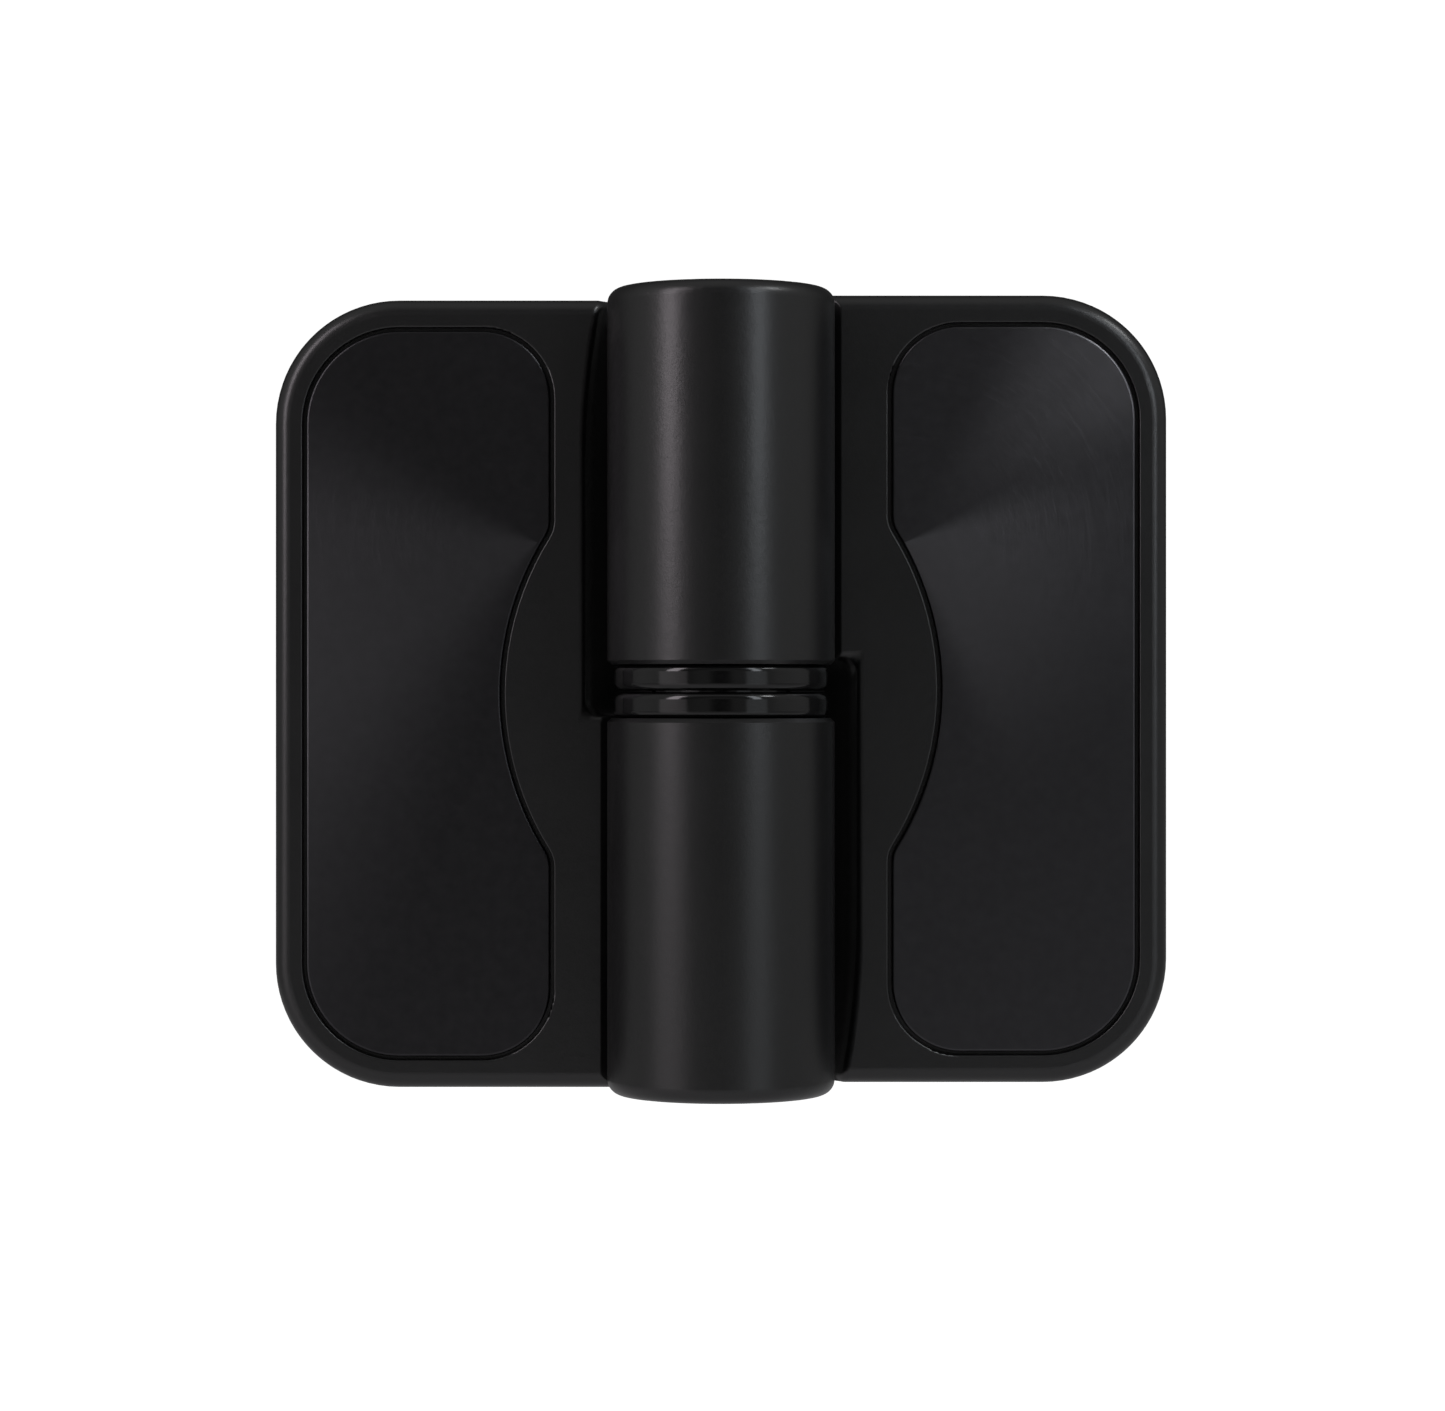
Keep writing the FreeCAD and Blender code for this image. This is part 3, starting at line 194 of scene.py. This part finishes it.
def spun_finish(name, side, level, painted_highlight_rays):
    """side is 1 for the door's cover and -1 for the fixed one, and level is the dye's paleness outside
    the painted highlights, set paler on the door's cover as painted light. Each painted highlight is
    given by its angle above the outward direction, the half widths where it starts to fade and where it
    ends, all in degrees, its strength, and how much of that strength it loses from the near to the far
    end, which is negative where it gains."""
    finish, root, place = new_finish(name)
    about = root.add("Mapping", None, {"Vector": place, "Scale": (side, 1.0, 1.0),
                                       "Location": (-SPIN_CENTRE_X, 0.0, -SPIN_CENTRE_Z)})
    outward = root.add("SeparateXYZ", None, {"Vector": about}, "X")
    upward = root.add("SeparateXYZ", None, {"Vector": about}, "Z")
    radius = root.maths("SQRT", outward * outward + upward * upward)
    turn = root.maths("ARCTAN2", upward, outward)
    fine_ring = root.add("CombineXYZ", None, {"X": radius / SCRATCH_PITCH, "Y": turn * SCRATCHES_A_TURN})
    scratches = root.noise(fine_ring, 1.0, detail=1.0)
    far = radius.clipped(PAINTED_HIGHLIGHT_NEAR, PAINTED_HIGHLIGHT_FAR)
    dye_and_painted_highlights = level + 0.012 * root.noise(place, DYE_SPECKLE)
    # The loop lays painted highlights into the base colour: fans of lamp light spreading from the spin
    # centre.
    for angle, inner, outer, strength, loss in painted_highlight_rays:
        off = root.maths("ABSOLUTE", turn - math.radians(angle))
        painted_highlight = off.clipped(math.radians(outer), math.radians(inner))
        dye_and_painted_highlights = dye_and_painted_highlights + strength * painted_highlight * (1.0 + 0.4 * loss - loss * far)
    surfaced(
        root,
        {"Metallic": 1.0},
        {
            "Base Color": (4.0 * dye_and_painted_highlights).tint((0.0, 0.0, 0.0), PALEST),
            "Roughness": 0.30 + 0.04 * scratches,
            "Normal": root.bump(scratches, SCRATCH_DEPTH),
        },
    )
    return finish


# These three are painted highlights, set where the lamps' fans of reflected light fall on each cover;
# the door's cover also gets a paler level as painted light.
narrow_upper_painted_highlight = (43, 4, 26, 0.029, -2.2)
broad_lower_painted_highlight = (-22, 34, 54, 0.036, 1.7)
broad_level_painted_highlight = (-17, 14, 58, 0.042, -0.5)
door_finish = spun_finish("spun_black_anodising_door", 1, 0.042, [narrow_upper_painted_highlight, broad_lower_painted_highlight])
fixed_finish = spun_finish("spun_black_anodising_fixed", -1, 0.030, [broad_level_painted_highlight])
coat(["door_leaf_cover"], door_finish)
coat(["fixed_leaf_cover"], fixed_finish)


# ---- the nylon rings ----
# The two rings between the knuckles are moulded in black nylon with a polished mould, so they
# are glossy. The upper one is the bush's collar and the lower one the cam's.

gloss_nylon, root, place = new_finish("glossy_black_nylon")
flow = root.noise(place, 260.0, detail=2.0)
dust = root.noise(place, 5200.0, detail=1.0)
surfaced(
    root,
    {"Specular IOR Level": 0.36, "IOR": 1.53},
    {
        "Base Color": flow.tint((0.001, 0.001, 0.001), (0.003, 0.003, 0.003)),
        "Roughness": 0.09 + 0.06 * flow,
        "Normal": root.bump(dust, 0.0000012, root.bump(flow, 0.00002)),
    },
)
coat(("lower_cam", "upper_bush"), gloss_nylon)


# ---- the plugs ----
# A plug closes the outer end of each knuckle. It is moulded in the same black nylon, with a
# spark-eroded matt end.

matt_nylon, root, place = new_finish("matt_black_nylon")
erosion = root.noise(place, 3600.0, detail=3.0, roughness=0.6)
surfaced(
    root,
    {"Specular IOR Level": 0.45, "IOR": 1.53},
    {
        "Base Color": erosion.tint((0.010, 0.010, 0.011), (0.020, 0.020, 0.021)),
        "Roughness": 0.48 + 0.12 * erosion,
        "Normal": root.bump(erosion, 0.000012),
    },
)
coat(("top_plug", "bottom_plug"), matt_nylon)


# ---- clips and pin bush ----
# These are small mouldings in uncoloured nylon, slightly cloudy and a little translucent.

natural_nylon, root, place = new_finish("natural_nylon")
cloud = root.noise(place, 900.0, detail=2.0)
fine = root.noise(place, 5200.0, detail=1.0)
surfaced(
    root,
    {
        "Specular IOR Level": 0.5,
        "IOR": 1.53,
        "Subsurface Weight": 0.15,
        "Subsurface Scale": 0.001,
    },
    {
        "Base Color": cloud.tint((0.56, 0.54, 0.48), (0.68, 0.66, 0.60)),
        "Roughness": 0.38 + 0.12 * cloud,
        "Normal": root.bump(fine, 0.000003),
    },
)
coat(("fixed_cover_clip_upper", "fixed_cover_clip_lower", "door_cover_clip_upper",
      "door_cover_clip_lower", "pin_bush"), natural_nylon)


# ---- the working parts in steel ----
# The pin and washers are turned and ground stainless steel. The upper cam is sintered and oiled,
# the spring is drawn wire, and the grub screw and retaining ring are black from hardening.

TURNING_MARKS = (300.0, 300.0, 9000.0)


def turned_steel(name, dark, light, roughness):
    """Steel with fine turning marks round the pin's axis."""
    finish, root, place = new_finish(name)
    marks = root.add("Mapping", None, {"Vector": place, "Scale": TURNING_MARKS})
    turning = root.noise(marks, 1.0, detail=2.0)
    stain = root.noise(place, 320.0, detail=3.0)
    surfaced(
        root,
        {"Metallic": 1.0},
        {
            "Base Color": (0.7 * stain + 0.3 * turning).tint(dark, light),
            "Roughness": roughness + 0.12 * turning + 0.06 * stain,
            "Normal": root.bump(turning, 0.0000025),
        },
    )
    return finish


ground_steel = turned_steel("ground_steel", (0.46, 0.46, 0.47), (0.62, 0.62, 0.62), 0.20)
drawn_wire = turned_steel("drawn_spring_wire", (0.20, 0.20, 0.21), (0.34, 0.33, 0.33), 0.26)
black_steel = turned_steel("black_oxide_steel", (0.045, 0.045, 0.05), (0.08, 0.08, 0.086), 0.30)
coat(("hinge_pin", "spring_washer", "thrust_washer"), ground_steel)
coat(("pin_grub_screw", "retaining_ring"), black_steel)

sintered_steel, root, place = new_finish("sintered_oiled_steel")
pores = root.add("TexVoronoi", None, {"Vector": place, "Scale": 2600.0}, "Distance")
stain = root.noise(place, 420.0, detail=3.0)
surfaced(
    root,
    {"Metallic": 1.0},
    {
        "Base Color": (0.5 * stain + 0.5 * pores).tint((0.20, 0.19, 0.18), (0.40, 0.39, 0.37)),
        "Roughness": 0.34 + 0.14 * stain,
        "Normal": root.bump(pores, 0.000006),
    },
)
coat(["upper_cam"], sintered_steel)


# ---- the return spring ----
# The return spring is coiled from one length of drawn wire. Its head bears on the door's
# knuckle; in use it shortens as the rising cam pushes its foot up, but here it keeps one length
# and is carried with the door's side.

MERGED_WITHIN = 1e-7

mesh = nodes["return_spring"].data.copy()
form = bmesh.new()
form.from_mesh(mesh)
bmesh.ops.remove_doubles(form, verts=form.verts, dist=MERGED_WITHIN)
bmesh.ops.recalc_face_normals(form, faces=form.faces)
form.to_mesh(mesh)
form.free()
mesh.materials.clear()
mesh.materials.append(drawn_wire)
coil = bpy.data.objects.new("return_spring_coil", mesh)
bpy.context.scene.collection.objects.link(coil)
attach(coil, "door_side")
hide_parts("return_spring")
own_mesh(coil)


# ---- floor, light and camera ----
# A pale floor lies well below the hinge. Two tall soft lights with fainter feet stand one each
# side of the camera, a small one catches the upper right corners, and the pale surround glows
# beside the hinge and in a ring round the camera.

FLOOR_DROP = 0.115
FLOOR_REACH = 6.0
LAMP_TILT = 0.3
BESIDE = 0.42
RING = 0.17
ALL_ROUND = 0.05

mesh = bpy.data.meshes.new("pale_floor")
form = bmesh.new()
bmesh.ops.create_circle(form, cap_ends=True, segments=96, radius=FLOOR_REACH)
bmesh.ops.translate(form, vec=(0.0, 0.0, -FLOOR_DROP), verts=form.verts)
form.to_mesh(mesh)
form.free()
floor = bpy.data.objects.new("pale_floor", mesh)
bpy.context.scene.collection.objects.link(floor)
pale, root, place = new_finish("pale_floor")
speck = root.noise(place, 60.0, detail=2.0)
surfaced(
    root,
    {"Specular IOR Level": 0.2, "Emission Strength": 0.80},
    {
        "Base Color": speck.tint((0.90, 0.90, 0.90), (0.94, 0.94, 0.94)),
        "Roughness": 0.8 + 0.1 * speck,
        "Emission Color": root.add("LightPath", None, None, "Is Camera Ray"),
    },
)
mesh.materials.append(pale)


def soft_light(name, turn, rise, distance, width, height, watts, colour):
    """An area light that faces the hinge, tilted down a little. turn is its angle to the right of
    the camera, and rise is the height of its middle over the hinge's middle."""
    light = bpy.data.lights.new(name, "AREA")
    light.shape = "RECTANGLE"
    light.size, light.size_y = width, height
    light.energy = watts
    light.color = colour
    lamp = bpy.data.objects.new(name, light)
    angle = math.radians(turn)
    sideways, forwards = distance * math.sin(angle), distance * math.cos(angle)
    facing = Vector((-sideways, forwards, -LAMP_TILT * rise))
    lamp.location = (sideways, -forwards, rise)
    lamp.rotation_euler = facing.to_track_quat("-Z", "Y").to_euler()
    bpy.context.scene.collection.objects.link(lamp)


soft_light("left_strip", -52, 0.185, 0.34, 0.09, 0.32, 0.50, (1.0, 0.91, 0.97))
soft_light("left_strip_foot", -52, -0.0875, 0.34, 0.20, 0.225, 0.09, (1.0, 0.93, 0.97))
soft_light("right_strip", 38, 0.185, 0.34, 0.06, 0.32, 0.30, (0.89, 0.94, 1.0))
soft_light("right_strip_foot", 38, -0.0875, 0.34, 0.14, 0.225, 0.06, (0.90, 0.95, 1.0))
soft_light("corner_light", 62, 0.30, 0.30, 0.08, 0.08, 0.30, (0.96, 0.98, 1.0))

world = bpy.data.worlds.new("pale_surround")
world.use_nodes = True
world.node_tree.nodes.clear()
sky = Shade(world.node_tree)
direction = sky.add("TexCoord", None, None, "Generated")
towards_camera = 0.0 - sky.add("SeparateXYZ", None, {"Vector": direction}, "Y")
seen = sky.add("LightPath", None, None, "Is Camera Ray")
beside = BESIDE * towards_camera.clipped(-0.8, 0.15) * towards_camera.clipped(0.88, 0.40)
ring = ALL_ROUND + RING * towards_camera.clipped(0.75, 0.93)
hidden_by_camera = (ALL_ROUND + RING) * towards_camera.clipped(0.968, 0.9985)
strength = sky.maths("MAXIMUM", beside + ring - hidden_by_camera, 1.05 * seen)
backdrop = sky.add("Background", None, {"Color": (1.0, 1.0, 1.0, 1.0), "Strength": strength})
output = world.node_tree.nodes.new("ShaderNodeOutputWorld")
world.node_tree.links.new(backdrop.socket, output.inputs["Surface"])
bpy.context.scene.world = world

VIEW_DISTANCE = 0.3963
LENS = 99.35
SHIFT_RIGHT = 0.00104
SHIFT_UP = -0.00983
lens = bpy.data.cameras.new("camera")
lens.lens = LENS
lens.sensor_width = 36.0
lens.shift_x = SHIFT_RIGHT
lens.shift_y = SHIFT_UP
camera = bpy.data.objects.new("camera", lens)
camera.location = (0.0, -VIEW_DISTANCE, 0.0)
camera.rotation_euler = (math.radians(90), 0.0, 0.0)
bpy.context.scene.collection.objects.link(camera)
bpy.context.scene.camera = camera
bpy.context.scene.view_settings.view_transform = "Standard"
